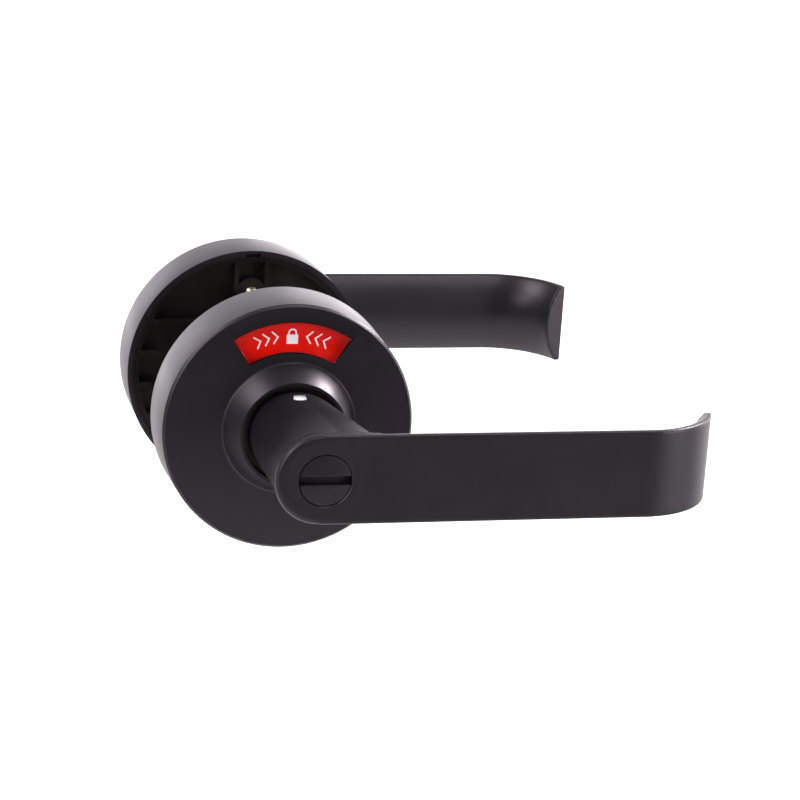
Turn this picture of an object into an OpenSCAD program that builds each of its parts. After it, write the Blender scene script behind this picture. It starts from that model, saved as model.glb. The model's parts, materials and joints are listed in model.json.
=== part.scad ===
// Privacy lever set with an occupancy window: two lever trims on round roses, clamped to a door.
// Millimetres. The origin is on the spindle axis, at the outside face of the door.
// X runs along the levers, Y goes through the door towards the inside, Z is up.
// Each trim is drawn in its own frame, with z as the distance out from its door face, and then
// placed. The inside trim is the outside one turned over about X, as the same castings serve both.

/* [Door] */
// Thickness of the door between the two roses
door_t = 44.5; // [38:0.5:52]

/* [Rose] */
// Diameter of each rose
rose_d = 80; // [78:0.5:90]
// Distance from the door to the flat face of the rose
rose_depth = 19.5; // [19.5:0.5:24]
// Wall of the rose's rim and face
rose_wall = 2; // [1.6:0.1:2.4]
// Height of the cone that stands on the face, round the lever's neck
cone_h = 7.7; // [6:0.1:9]
// Dark gap between the cone's rim and the neck
neck_gap = 1.9; // [1.7:0.1:2.2]

/* [Window] */
// Height of the indicator window, along a radius
window_h = 10; // [7:0.1:10.5]
// Half of the angle that the window spans
window_half = 33.5; // [24:0.5:35]

/* [Lever] */
// Distance from the door to the lever's flat outer face
lever_stand = 70.5; // [68:0.5:78]
// Height of the lever's flat face
lever_h = 27.7; // [27.2:0.1:29]
// Distance from the spindle axis to the tip
lever_reach = 126; // [105:0.5:140]
// Distance from the spindle axis to the round hub end
hub_back = 15; // [14.2:0.1:17]
// Thickness of the lever in the middle of its height
lever_t = 7.25; // [6:0.05:8]
// Thickness of the lever along its top and bottom edges
edge_t = 2; // [1:0.1:2.5]
// Radius of the outer face where the tip turns back to the door
return_r = 27; // [20:0.5:32]
// Angle through which the tip turns back
return_angle = 71; // [50:1:85]
// Diameter of the lever's neck in the rose
neck_d = 27.6; // [27.2:0.1:28]
// How far the neck leans along the lever by the time it meets the flat part
neck_lean = 8; // [4:0.5:10]

/* [Locking] */
// Diameter of the coin release in the outside lever
coin_d = 15.9; // [14:0.1:17]
// Width of the coin slot
coin_slot = 2.8; // [2:0.1:3.2]
// Width across the square locking shaft
shaft_w = 3.2; // [2.8:0.1:3.2]
// Height of the thumb turn's tab over the inside lever
tab_h = 11; // [8:0.5:14]
// Diameter of the spindle tube that carries each lever
spindle_d = 22; // [21.6:0.1:22.2]
// Turn of each lever to either side of level
lever_swing = 45; // [40:1:50]
// Width of the catch pin that holds a lever on its spindle
catch_d = 4.4; // [4:0.1:4.8]

/* [Fixing] */
// Distance between the two through bolts
bolt_pitch = 51.5; // [48:0.5:53]
// Diameter of a through bolt
bolt_d = 4; // [3:0.5:4]
// Outside diameter of a threaded post
post_d = 7; // [6.5:0.1:7.5]

/* [Clearances] */
// Gap on each side of a running fit
run_gap = 0.08; // [0.05:0.01:0.1]
// Gap between pieces that move past each other
move_gap = 0.3; // [0.25:0.05:0.4]
// Gap between pieces that are pushed together
seat_gap = 0.05; // [0.02:0.01:0.08]

/* [Hidden] */
$fn = 96;
// overlap that keeps a cut or a join clean
eps = 0.01;
// excess of a cutting tool past the surface that it cuts
over = 1;

// rose
rose_r = rose_d / 2;
rim_in_r = rose_r - rose_wall;
face_back = rose_depth - rose_wall;
rim_draft = 0.4;
edge_bevel = 0.8;
neck_r = neck_d / 2;
cone_bore_r = neck_r + neck_gap;
cone_rim_r = cone_bore_r + 1.1;
cone_base_r = cone_bore_r + 5.3;
cone_top = rose_depth + cone_h;
notch_w = 5;
notch_depth = 1.5;

// window, lens and indicator, stacked back from the rose's face
window_out_r = rose_r - 6;
window_in_r = window_out_r - window_h;
lens_gap = 0.2;
lens_lip = 1.1;
lens_lip_t = 0.7;
lens_lip_angle = 2.5;
flag_t = 0.3;
flag_half = 42;
disc_t = 1.2;
disc_front = face_back - lens_lip_t - move_gap - 0.1 - flag_t;
disc_back = disc_front - disc_t;
disc_r = rim_in_r - 1;
pin_r = 0.9;
pin_z = disc_back - pin_r - 0.4;
collar_r = cone_bore_r + 0.5;
disc_bore_r = collar_r + run_gap;
boss_in = disc_bore_r + 0.6;
boss_out = boss_in + 4.4;
boss_w = 5;

// spindle tube
spindle_r = spindle_d / 2;
spindle_in_r = spindle_r - 3.5;
spindle_back = 0.3;
spindle_front = lever_stand - 28.5;
bearing_r = spindle_r + run_gap;
flat_y = spindle_r - 1.5;
tongue_half = 40;
tongue_reach = door_t - 10.5;
slot_half = lever_swing + 45 + 13;
catch_r = catch_d / 2;
catch_z = cone_top + 5.3;
flat_back = catch_z - 4.5;
key_w = 3;
key_depth = 1.2;

// mount plate behind each rose
mount_back = 0.6;
floor_back = 3.5;
floor_front = 5;
mount_r = rim_in_r - seat_gap;
mount_ring = 1.7;
mount_ring_front = 8;
rib_t = 1.5;
drum_r = 22.5;
hub_r = bearing_r + 4;
clip_t = 1;
clip_back = 1.2;
clip_groove_r = spindle_r - 0.8;
hub_back_z = clip_back + clip_t + move_gap;
boss_r = post_d / 2 + 1.5;

// cam and return spring
cam_back = floor_front + move_gap;
cam_t = 2;
cam_front = cam_back + cam_t;
cam_r = spindle_r + 6;
lug_w = 6;
lug_r = cam_r + 5;
stop_r = 2;
stop_ring_r = cam_r + 2.5;
stop_angle = lever_swing + asin((lug_w / 2 + stop_r + move_gap) / stop_ring_r);
wire_d = 1.2;
coil_r = spindle_r + 2;
coil_turns = 2;
coil_z0 = cam_front + move_gap + wire_d / 2;
coil_z1 = pin_z - pin_r - 0.4 - wire_d / 2;
tab_w = 3;
spring_post_r = tab_w / 2;
spring_post_ring_r = cam_r + 4;
leg_y = tab_w / 2 + seat_gap + wire_d / 2;
leg_end = spring_post_ring_r + 2;
leg_bend_r = 1.5;
bend_y = leg_y + leg_bend_r;
bend_x = sqrt(pow(coil_r + leg_bend_r, 2) - pow(bend_y, 2));
leg_angle = atan2(bend_y, bend_x);

// bush between the rose and the lever's neck
bush_bore_r = neck_r + run_gap;
bush_r = cone_bore_r - seat_gap;
bush_front = cone_top - 1.8;

// lever
half_h = lever_h / 2;
back_drop = lever_t - edge_t;
back_r = (pow(half_h, 2) + pow(back_drop, 2)) / (2 * back_drop);
// rounded to a hundredth, so that the straight part and the bend share one face
straight_end = round((lever_reach - return_r * sin(return_angle)) * 100) / 100;
neck_back = disc_back + move_gap;
lean_back = cone_top + move_gap;
lean_start = 1;
lean_r = neck_r - 0.1;
lean_angle = atan((neck_lean - lean_start) / (lever_stand - lever_t - lean_back));
flare_r = 2.5;
flare_top = lever_stand - 3.5;
flare_land = 0.4;
bore_r = spindle_r + seat_gap;
pocket_back = spindle_front + 0.5;
pocket_front = spindle_front + 5;
pocket_r = spindle_in_r;
head_depth = 7.5;
head_back = lever_stand - head_depth;
catch_tip = neck_r + 0.4;
catch_land = catch_r - 1;
catch_lip_top = spindle_in_r - 0.8;
catch_lip_t = 0.9;
catch_lip_r = catch_r + 0.9;

// turns, clips and shaft
coin_r = coin_d / 2;
turn_gap = 0.15;
stem_r = 4;
stem_back = spindle_front + 2;
stem_groove_r = 3.2;
turn_clip_front = pocket_front - move_gap;
turn_clip_back = turn_clip_front - clip_t;
turn_clip_r = 6.3;
socket_gap = 0.1;
shaft_end = spindle_front + 12;
socket_end = shaft_end + 0.5;
slot_depth = 2.5;
tab_r = 10;
tab_t = 5;
tab_base = lever_stand + 2 * move_gap;

// fixings
bolt_r = bolt_d / 2;
bolt_ring_r = bolt_pitch / 2;
post_reach = door_t - 18.5;
post_head_r = post_d / 2 + 1.3;
post_neck_r = post_d / 2 - 0.4;
post_shoulder = mount_back - seat_gap;
post_head_t = 1;
bolt_head_r = bolt_r + 1.8;
bolt_head_t = 2.4;
bolt_tip = door_t - 15.5;
post_hole_depth = post_reach + bolt_tip - door_t + seat_gap;
thread_pitch = 0.7;
thread_depth = 0.25;
thread_turns = 28;
thread_start = 3;

black = [0.09, 0.09, 0.1];
dark = [0.05, 0.05, 0.055];
steel = [0.72, 0.72, 0.74];
brass = [0.8, 0.66, 0.32];
red = [0.8, 0.08, 0.05];
green = [0.1, 0.5, 0.22];
clear = [0.9, 0.95, 1, 0.35];

// places a trim on the outside face of the door
module outside() {
    rotate([90, 0, 0])
        children();
}

// places a trim on the inside face of the door
module inside() {
    translate([0, door_t, 0])
        rotate([-90, 0, 0])
            children();
}

// flat ring from radius r0 to r1 between two heights
module ring(r0, r1, z0, z1) {
    translate([0, 0, z0])
        linear_extrude(z1 - z0)
            difference() {
                circle(r1);
                circle(r0);
            }
}

// 2-D wedge that is wide enough to cut any ring, half degrees either side of a middle direction
module wedge(mid, half) {
    far = 3 * rose_r;
    steps = 4;
    polygon(concat([[0, 0]], [
        for (i = [0 : steps])
            let (a = mid - half + 2 * half * i / steps)
            far * [cos(a), sin(a)]
    ]));
}

// part of a flat ring, half degrees either side of a middle direction
module sector(r0, r1, z0, z1, mid, half) {
    translate([0, 0, z0])
        linear_extrude(z1 - z0)
            intersection() {
                difference() {
                    circle(r1);
                    circle(r0);
                }
                wedge(mid, half);
            }
}

// cylinder along y, from y0 to y1, at a height z
module y_pin(r, y0, y1, z) {
    translate([0, y0, z])
        rotate([-90, 0, 0])
            cylinder(r = r, h = y1 - y0);
}

// spring ring with a gap, sprung into a groove
module split_clip(r0, r1, z0, gap_mid, gap_half) {
    translate([0, 0, z0])
        linear_extrude(clip_t)
            difference() {
                circle(r1);
                circle(r0);
                wedge(gap_mid, gap_half);
            }
}

// turned cover with a drafted rim, a cone round the neck and a pry notch in its back edge
module rose_shell() {
    difference() {
        rotate_extrude()
            polygon([
                [cone_bore_r, face_back],
                [rim_in_r, face_back],
                [rim_in_r, 0],
                [rose_r, 0],
                [rose_r - rim_draft, rose_depth - edge_bevel],
                [rose_r - rim_draft - edge_bevel, rose_depth],
                [cone_base_r, rose_depth],
                [cone_rim_r, cone_top],
                [cone_bore_r, cone_top]
            ]);
        translate([-notch_w / 2, -rim_in_r - rose_wall / 2, -over])
            cube([notch_w, rose_wall, notch_depth + over]);
    }
}

module outside_rose() {
    color(black)
        outside()
            difference() {
                rose_shell();
                sector(window_in_r, window_out_r, face_back - over, rose_depth + over, 90, window_half);
            }
}

module inside_rose() {
    color(black)
        inside()
            rose_shell();
}

// clear window: a body in the opening and a lip behind the face
module window_lens() {
    color(clear)
        outside()
            union() {
                sector(window_in_r + lens_gap, window_out_r - lens_gap, face_back - eps,
                    rose_depth - lens_gap, 90, window_half - 0.4);
                sector(window_in_r - lens_lip, window_out_r + lens_lip, face_back - lens_lip_t,
                    face_back, 90, window_half + lens_lip_angle);
            }
}

// level rib between the drum and the outer ring, on both sides
module level_rib(y, from_r) {
    intersection() {
        translate([-rose_r, y - rib_t / 2, mount_back])
            cube([rose_d, rib_t, floor_front - mount_back - eps]);
        ring(from_r, mount_r - eps, mount_back, floor_front);
    }
}

// moulded carrier in a rose: floor, ribs, bearing ring, bolt bosses, cam stops and a spring post
module mount_plate(bolt_hole_r) {
    difference() {
        union() {
            ring(bearing_r, mount_r, floor_back, floor_front);
            ring(mount_r - mount_ring, mount_r, mount_back, mount_ring_front);
            ring(bearing_r, hub_r, hub_back_z, floor_front);
            ring(drum_r - rib_t, drum_r, mount_back, floor_front - eps);
            for (y = [-16, -5.5, 5.5, 16])
                level_rib(y, abs(y) > 10 ? drum_r - eps : drum_r + 8);
            for (x = [-1, 1], side = [-1, 1])
                translate([x * boss_r - rib_t / 2, side > 0 ? drum_r - 1 : -mount_r + 1, mount_back])
                    cube([rib_t, mount_r - drum_r, floor_front - mount_back - eps]);
            for (side = [-1, 1]) {
                translate([0, side * bolt_ring_r, mount_back])
                    cylinder(r = boss_r, h = floor_front - mount_back);
                rotate([0, 0, 180 + side * stop_angle])
                    translate([stop_ring_r, 0, floor_front - eps])
                        cylinder(r = stop_r, h = cam_t + move_gap);
            }
            translate([spring_post_ring_r, 0, floor_front - eps])
                cylinder(r = spring_post_r, h = coil_z1 + wire_d / 2 - floor_front);
        }
        for (side = [-1, 1])
            translate([0, side * bolt_ring_r, -over])
                cylinder(r = bolt_hole_r, h = floor_front + 2 * over);
    }
}

module outside_mount() {
    color(dark)
        outside()
            mount_plate(post_neck_r + seat_gap);
}

module inside_mount() {
    color(dark)
        inside()
            mount_plate(bolt_r + seat_gap);
}

// plain bearing pressed in the rose's cone; on the outside, its collar also carries the indicator
module neck_bush() {
    difference() {
        union() {
            translate([0, 0, disc_back])
                cylinder(r = collar_r, h = face_back - disc_back);
            translate([0, 0, disc_back])
                cylinder(r = bush_r, h = bush_front - disc_back);
        }
        translate([0, 0, disc_back - over])
            cylinder(r = bush_bore_r, h = bush_front);
    }
}

module outside_bush() {
    color(dark)
        outside()
            neck_bush();
}

module inside_bush() {
    color(dark)
        inside()
            neck_bush();
}

// section of the lever: flat outside, round towards the door, and extra wide where it is cut later
module lever_section(extra = 0) {
    intersection() {
        translate([-half_h - extra, -lever_t])
            square([lever_h + 2 * extra, lever_t]);
        translate([0, back_r - lever_t])
            circle(back_r, $fn = 180);
    }
}

// outline of the straight part, with its round hub end
module lever_outline() {
    translate([half_h - hub_back, 0])
        circle(half_h);
    translate([half_h - hub_back, -half_h])
        square([straight_end + hub_back - half_h, lever_h]);
}

// lever with its neck, the seat of a turn and the bore for the spindle, which a flat keys
module lever_body() {
    difference() {
        union() {
            intersection() {
                translate([-hub_back - over, 0, lever_stand])
                    rotate([90, 0, 90])
                        linear_extrude(straight_end + hub_back + over)
                            lever_section(0.5);
                translate([0, 0, lever_stand - lever_t - over])
                    linear_extrude(lever_t + 2 * over)
                        lever_outline();
            }
            translate([straight_end, 0, lever_stand - return_r])
                rotate([-90, 0, 0])
                    rotate([0, 0, -90])
                        rotate_extrude(angle = return_angle)
                            translate([return_r, 0])
                                rotate(-90)
                                    lever_section();
            translate([0, 0, neck_back])
                cylinder(r = neck_r, h = lever_stand - edge_t - neck_back);
            intersection() {
                translate([lean_start, 0, lean_back])
                    rotate([0, lean_angle, 0])
                        translate([0, 0, -lean_r])
                            cylinder(r = lean_r, h = lever_stand);
                translate([-rose_r, -rose_r, lean_back])
                    cube([rose_d, rose_d, lever_stand - edge_t - lean_back]);
            }
            intersection() {
                translate([neck_lean, 0, 0])
                    rotate_extrude()
                        difference() {
                            translate([0, flare_top - flare_r])
                                square([lean_r + flare_r, flare_r + flare_land]);
                            translate([lean_r + flare_r, flare_top - flare_r])
                                circle(flare_r);
                        }
                translate([0, 0, flare_top - flare_r - over])
                    linear_extrude(flare_r + 2 * over)
                        lever_outline();
            }
        }
        rotate_extrude()
            polygon([
                [0, neck_back - over],
                [bore_r, neck_back - over],
                [bore_r, pocket_back],
                [pocket_r, pocket_back],
                [pocket_r, pocket_front],
                [stem_r + run_gap, pocket_front],
                [stem_r + run_gap, head_back],
                [coin_r + turn_gap, head_back],
                [coin_r + turn_gap, lever_stand + over],
                [0, lever_stand + over]
            ]);
        y_pin(catch_r + 0.2, bore_r - over, neck_r + over, catch_z);
    }
    intersection() {
        translate([-bore_r, -bore_r - over, flat_back])
            cube([2 * bore_r, bore_r + over - flat_y - seat_gap, pocket_back - flat_back]);
        cylinder(r = bore_r + 0.5, h = lever_stand);
    }
}

module outside_lever() {
    color(black)
        outside()
            lever_body();
}

module inside_lever() {
    color(black)
        inside()
            lever_body();
}

// tube that carries a lever, with a tongue that reaches into the latch
module spindle_tube() {
    difference() {
        union() {
            ring(spindle_in_r, spindle_r, spindle_back, spindle_front);
            sector(spindle_in_r, spindle_r, -tongue_reach, spindle_back + eps, 90, tongue_half);
        }
        ring(clip_groove_r, spindle_r + over, clip_back - seat_gap, clip_back + clip_t + seat_gap);
        translate([-spindle_r - over, -spindle_r - over, flat_back])
            cube([2 * (spindle_r + over), spindle_r + over - flat_y, spindle_front - flat_back + over]);
        translate([-spindle_r - over, -key_w / 2, spindle_back - over])
            cube([key_depth + over, key_w, cam_front + seat_gap - spindle_back + over]);
        y_pin(catch_r + 0.1, 0, spindle_r + over, catch_z);
    }
}

// the outside tube also has a long slot, so that the indicator's pin can pass at any lever angle
module outside_spindle() {
    color(steel)
        outside()
            difference() {
                spindle_tube();
                sector(spindle_in_r - over, spindle_r + over, pin_z - pin_r - 0.2, pin_z + pin_r + 0.2, 225,
                    slot_half);
            }
}

module inside_spindle() {
    color(steel)
        inside()
            spindle_tube();
}

// plate keyed to the tube: a lug that meets the stops and a tab that winds the return spring
module cam_plate() {
    difference() {
        union() {
            translate([0, 0, cam_back])
                cylinder(r = cam_r, h = cam_t);
            translate([-lug_r, -lug_w / 2, cam_back])
                cube([lug_r, lug_w, cam_t]);
            translate([cam_r - 1.9, -tab_w / 2, cam_front - eps])
                cube([1.8, tab_w, coil_z1 + wire_d / 2 - cam_front]);
        }
        translate([0, 0, cam_back - over])
            cylinder(r = spindle_r + seat_gap, h = cam_t + 2 * over);
    }
    intersection() {
        translate([-spindle_r - over, -key_w / 2 + seat_gap, cam_back])
            cube([key_depth + over - seat_gap, key_w - 2 * seat_gap, cam_t]);
        ring(0, spindle_r + over - eps, cam_back, cam_front);
    }
}

module outside_cam() {
    color(steel)
        outside()
            cam_plate();
}

module inside_cam() {
    color(steel)
        inside()
            cam_plate();
}

module outside_circlip() {
    color(steel)
        outside()
            split_clip(clip_groove_r + seat_gap, hub_r - 1, clip_back, 270, 20);
}

module inside_circlip() {
    color(steel)
        inside()
            split_clip(clip_groove_r + seat_gap, hub_r - 1, clip_back, 270, 20);
}

// centre line of the return spring: a leg, its bend, the coil, the other bend and the other leg
coil_sweep = 360 * coil_turns - 2 * leg_angle;
coil_steps = 24 * coil_turns;
bend_sweep = 90 - leg_angle;
bend_steps = 5;
function bend_point(side, a, z) =
    [bend_x - leg_bend_r * sin(a), side * (bend_y - leg_bend_r * cos(a)), z];
spring_path = concat(
    [[leg_end, leg_y, coil_z0]],
    [for (i = [0 : bend_steps - 1]) bend_point(1, bend_sweep * i / bend_steps, coil_z0)],
    [for (i = [0 : coil_steps])
        let (a = leg_angle + coil_sweep * i / coil_steps)
        [coil_r * cos(a), coil_r * sin(a), coil_z0 + (coil_z1 - coil_z0) * i / coil_steps]],
    [for (i = [bend_steps - 1 : -1 : 0]) bend_point(-1, bend_sweep * i / bend_steps, coil_z1)],
    [[leg_end, -leg_y, coil_z1]]
);

function unit(v) = v / norm(v);
function path_way(path, i) =
    unit(path[min(i + 1, len(path) - 1)] - path[max(i - 1, 0)]);

// round wire swept along a path that never stands upright
module wire(path, r, sides) {
    last = len(path) - 1;
    points = [
        for (i = [0 : last])
            let (
                t = path_way(path, i),
                n = unit(cross([0, 0, 1], t)),
                b = cross(t, n)
            )
            for (k = [0 : sides - 1])
                let (a = 360 * k / sides)
                path[i] + r * (cos(a) * n + sin(a) * b)
    ];
    walls = [
        for (i = [0 : last - 1], k = [0 : sides - 1])
            let (m = (k + 1) % sides)
            for (f = [
                [i * sides + k, (i + 1) * sides + k, (i + 1) * sides + m],
                [i * sides + k, (i + 1) * sides + m, i * sides + m]
            ])
                f
    ];
    ends = [
        [for (k = [0 : sides - 1]) k],
        [for (k = [sides - 1 : -1 : 0]) last * sides + k]
    ];
    polyhedron(points, concat(walls, ends));
}

coil_gap = (coil_z1 - coil_z0) * 360 / coil_sweep - wire_d;
echo(return_spring_gap_mm = coil_gap);

module outside_return_spring() {
    color(steel)
        outside()
            wire(spring_path, wire_d / 2, 8);
}

module inside_return_spring() {
    color(steel)
        inside()
            wire(spring_path, wire_d / 2, 8);
}

// pin that stands in the hole of a lever's neck and lets the lever go when it is pushed in; a ramp on
// its outer side lets a lever that is pushed on move it out of the way
module catch_pin() {
    difference() {
        y_pin(catch_r, catch_lip_top - eps, catch_tip, catch_z);
        translate([0, catch_tip, catch_z - catch_land])
            rotate([45, 0, 0])
                translate([-catch_d, 0, -catch_d])
                    cube(2 * catch_d);
    }
    y_pin(catch_lip_r, catch_lip_top - catch_lip_t, catch_lip_top, catch_z);
}

module outside_catch() {
    color(steel)
        outside()
            catch_pin();
}

module inside_catch() {
    color(steel)
        inside()
            catch_pin();
}

// leaf bent round inside the tube, with two lips under the catch
module catch_leaf() {
    leaf_t = 0.6;
    leaf_w = 6;
    leaf_r = spindle_in_r - move_gap;
    open_half = 40;
    lip_y = catch_lip_top - catch_lip_t - 2 * seat_gap - leaf_t;
    lip_x = leaf_r * sin(open_half);
    translate([0, 0, catch_z - leaf_w / 2])
        linear_extrude(leaf_w)
            union() {
                difference() {
                    circle(leaf_r);
                    circle(leaf_r - leaf_t);
                    wedge(90, open_half);
                }
                for (side = [-1, 1])
                    translate([side > 0 ? catch_r : -lip_x, lip_y])
                        square([lip_x - catch_r, leaf_t]);
            }
}

module outside_catch_spring() {
    color(steel)
        outside()
            catch_leaf();
}

module inside_catch_spring() {
    color(steel)
        inside()
            catch_leaf();
}

// stem of a turn, with a groove for its clip and a square socket for the shaft
module turn_stem(head_front) {
    difference() {
        union() {
            translate([0, 0, head_back + 0.2])
                cylinder(r = coin_r, h = head_front - head_back - 0.2);
            translate([0, 0, stem_back])
                cylinder(r = stem_r, h = head_back + 0.2 - stem_back + eps);
        }
        ring(stem_groove_r, stem_r + over, turn_clip_back - seat_gap, turn_clip_front + seat_gap);
        translate([-shaft_w / 2 - socket_gap, -shaft_w / 2 - socket_gap, stem_back - over])
            cube([shaft_w + 2 * socket_gap, shaft_w + 2 * socket_gap, socket_end - stem_back + over]);
    }
}

module release_turn() {
    color(black)
        outside()
            difference() {
                turn_stem(lever_stand - 0.2);
                translate([-coin_d, -coin_slot / 2, lever_stand - 0.2 - slot_depth])
                    cube([2 * coin_d, coin_slot, slot_depth + over]);
            }
}

// half-round tab on the inside lever
module thumb_turn() {
    color(black)
        inside()
            union() {
                turn_stem(tab_base + 0.5);
                intersection() {
                    translate([0, tab_t / 2, tab_base + tab_h - tab_r])
                        rotate([90, 0, 0])
                            cylinder(r = tab_r, h = tab_t);
                    translate([-tab_r, -tab_t, tab_base])
                        cube([2 * tab_r, 2 * tab_t, tab_h + over]);
                }
            }
}

module release_clip() {
    color(steel)
        outside()
            split_clip(stem_groove_r + seat_gap, turn_clip_r, turn_clip_back, 270, 35);
}

module turn_clip() {
    color(steel)
        inside()
            split_clip(stem_groove_r + seat_gap, turn_clip_r, turn_clip_back, 270, 35);
}

// square shaft between the two turns, cross-drilled for the indicator's pin
module lock_shaft() {
    color(steel)
        outside()
            difference() {
                translate([-shaft_w / 2, -shaft_w / 2, -door_t - shaft_end])
                    cube([shaft_w, shaft_w, door_t + 2 * shaft_end]);
                y_pin(pin_r + seat_gap, -shaft_w, shaft_w, pin_z);
            }
}

module indicator_pin() {
    color(steel)
        outside()
            y_pin(pin_r, -boss_out + 0.5, shaft_w / 2, pin_z);
}

// ring behind the window that the pin turns with the shaft
module indicator_disc() {
    color(dark)
        outside()
            difference() {
                union() {
                    ring(disc_bore_r, disc_r, disc_back, disc_front);
                    translate([-boss_w / 2, -boss_out, pin_z - pin_r - 0.3])
                        cube([boss_w, boss_out - boss_in, disc_back - pin_z + pin_r + 0.3 + eps]);
                }
                y_pin(pin_r + seat_gap, -boss_out + 0.4, 0, pin_z);
            }
}

// coloured flag on the disc, wider than the window
module flag(mid) {
    sector(window_in_r - lens_lip, window_out_r + lens_lip, disc_front, disc_front + flag_t, mid, flag_half);
}

module red_flag() {
    color(red)
        outside()
            flag(90);
}

module green_flag() {
    color(green)
        outside()
            flag(180);
}

// threaded posts that stand in the door from the outside mount
module screw_posts() {
    color(steel)
        outside()
            for (side = [-1, 1])
                translate([0, side * bolt_ring_r, 0])
                    difference() {
                        union() {
                            translate([0, 0, -post_reach])
                                cylinder(r = post_d / 2, h = post_reach + post_shoulder);
                            cylinder(r = post_neck_r, h = floor_front + eps);
                            translate([0, 0, floor_front])
                                cylinder(r = post_head_r, h = post_head_t);
                        }
                        translate([0, 0, -post_reach - over])
                            cylinder(r = bolt_r + seat_gap, h = post_hole_depth + over);
                    }
}

// bolts from the inside mount into the posts, with ring grooves for their thread
module through_bolts() {
    color(brass)
        inside()
            for (side = [-1, 1])
                translate([0, side * bolt_ring_r, 0]) {
                    rotate_extrude()
                        polygon(concat(
                            [[0, -bolt_tip], [bolt_r, -bolt_tip]],
                            [for (i = [thread_turns : -1 : 1])
                                let (z = thread_start - i * thread_pitch)
                                for (p = [
                                    [bolt_r, z],
                                    [bolt_r - thread_depth, z + thread_pitch / 2]
                                ])
                                    p],
                            [
                                [bolt_r, thread_start],
                                [bolt_r, floor_front],
                                [bolt_head_r, floor_front],
                                [bolt_head_r, floor_front + bolt_head_t],
                                [0, floor_front + bolt_head_t]
                            ]
                        ));
                }
}

outside_rose();
outside_mount();
window_lens();
outside_bush();
outside_lever();
outside_spindle();
outside_cam();
outside_circlip();
outside_return_spring();
outside_catch();
outside_catch_spring();
release_turn();
release_clip();
indicator_disc();
red_flag();
green_flag();
indicator_pin();
lock_shaft();
inside_rose();
inside_mount();
inside_bush();
inside_lever();
inside_spindle();
inside_cam();
inside_circlip();
inside_return_spring();
inside_catch();
inside_catch_spring();
thumb_turn();
turn_clip();
screw_posts();
through_bolts();
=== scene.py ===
"""Dresses a privacy lever set: two levers on round roses, with an occupancy window in the outside rose.

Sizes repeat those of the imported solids, whose boxes give the door's thickness. Pieces that show are
modelled again here with finer rounds and softer edges, and every solid that is kept gets a finish.
"""

from __future__ import annotations

import json
import logging
import math
from collections.abc import Callable, Sequence
from dataclasses import dataclass, field
from enum import Enum

import bpy
from mathutils import Matrix, Vector

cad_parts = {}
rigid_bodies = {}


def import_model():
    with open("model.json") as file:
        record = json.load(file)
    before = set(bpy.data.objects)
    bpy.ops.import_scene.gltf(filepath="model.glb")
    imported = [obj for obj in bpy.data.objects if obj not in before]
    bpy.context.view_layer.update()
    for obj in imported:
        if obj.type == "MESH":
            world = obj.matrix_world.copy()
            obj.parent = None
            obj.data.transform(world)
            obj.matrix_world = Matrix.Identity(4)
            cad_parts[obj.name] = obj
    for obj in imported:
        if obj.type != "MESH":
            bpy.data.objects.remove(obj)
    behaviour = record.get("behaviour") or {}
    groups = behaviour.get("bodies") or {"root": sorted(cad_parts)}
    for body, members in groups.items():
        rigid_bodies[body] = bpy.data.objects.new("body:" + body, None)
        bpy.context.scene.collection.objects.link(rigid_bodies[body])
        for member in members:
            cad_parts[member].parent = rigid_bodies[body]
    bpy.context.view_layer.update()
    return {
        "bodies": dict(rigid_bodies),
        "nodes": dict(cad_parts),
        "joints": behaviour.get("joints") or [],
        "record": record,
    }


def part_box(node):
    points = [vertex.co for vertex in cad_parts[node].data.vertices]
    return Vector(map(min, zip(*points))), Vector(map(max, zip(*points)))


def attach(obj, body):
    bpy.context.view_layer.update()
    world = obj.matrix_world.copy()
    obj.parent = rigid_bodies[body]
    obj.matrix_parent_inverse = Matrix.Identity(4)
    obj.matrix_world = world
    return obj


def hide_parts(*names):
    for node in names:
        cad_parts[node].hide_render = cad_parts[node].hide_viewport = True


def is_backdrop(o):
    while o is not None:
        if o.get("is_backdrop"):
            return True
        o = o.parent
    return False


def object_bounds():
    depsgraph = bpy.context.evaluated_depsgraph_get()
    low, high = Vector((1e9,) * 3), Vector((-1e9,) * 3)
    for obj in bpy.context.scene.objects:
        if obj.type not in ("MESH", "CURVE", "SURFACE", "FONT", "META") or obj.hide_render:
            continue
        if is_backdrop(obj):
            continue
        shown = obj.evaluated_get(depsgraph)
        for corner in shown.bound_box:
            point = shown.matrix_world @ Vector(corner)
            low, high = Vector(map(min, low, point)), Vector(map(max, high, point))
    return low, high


LOG = logging.getLogger("lever_set")
MM = 0.001
PHOTO_SIDE = 800
SENSOR_MM = 36.0
# Vertices nearer than this become one, and places nearer than that count as equal
MERGE_MM = 0.001
NEAR_M = 1e-5
# Direction of the window's middle, in degrees from x to y
TOP = 90.0
Piece = bpy.types.Object
Profile = Sequence[tuple[float, float]]
Triple = tuple[float, float, float]


class Side(Enum):
    """The two faces of the door that carry a trim."""

    OUTSIDE = "outside"
    INSIDE = "inside"


class Body(Enum):
    """The moving groups of the set."""

    TRIM = "trim"
    OUTSIDE_HANDLE = "outside_handle"
    OUTSIDE_RELEASE = "outside_release"
    INSIDE_HANDLE = "inside_handle"
    INSIDE_RELEASE = "inside_release"
    LOCK = "lock"


class Joining(Enum):
    """The ways in which one shape is combined with another."""

    CUT = "DIFFERENCE"
    FUSE = "UNION"


# Modelling by operators


def select_only(piece: Piece) -> None:
    """Makes one piece the only selected and active object."""
    bpy.ops.object.select_all(action="DESELECT")
    piece.select_set(True)
    bpy.context.view_layer.objects.active = piece


def settle(piece: Piece) -> None:
    """Puts a piece's place, turn and scale into its mesh."""
    select_only(piece)
    bpy.ops.object.transform_apply(location=True, rotation=True, scale=True)


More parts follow.
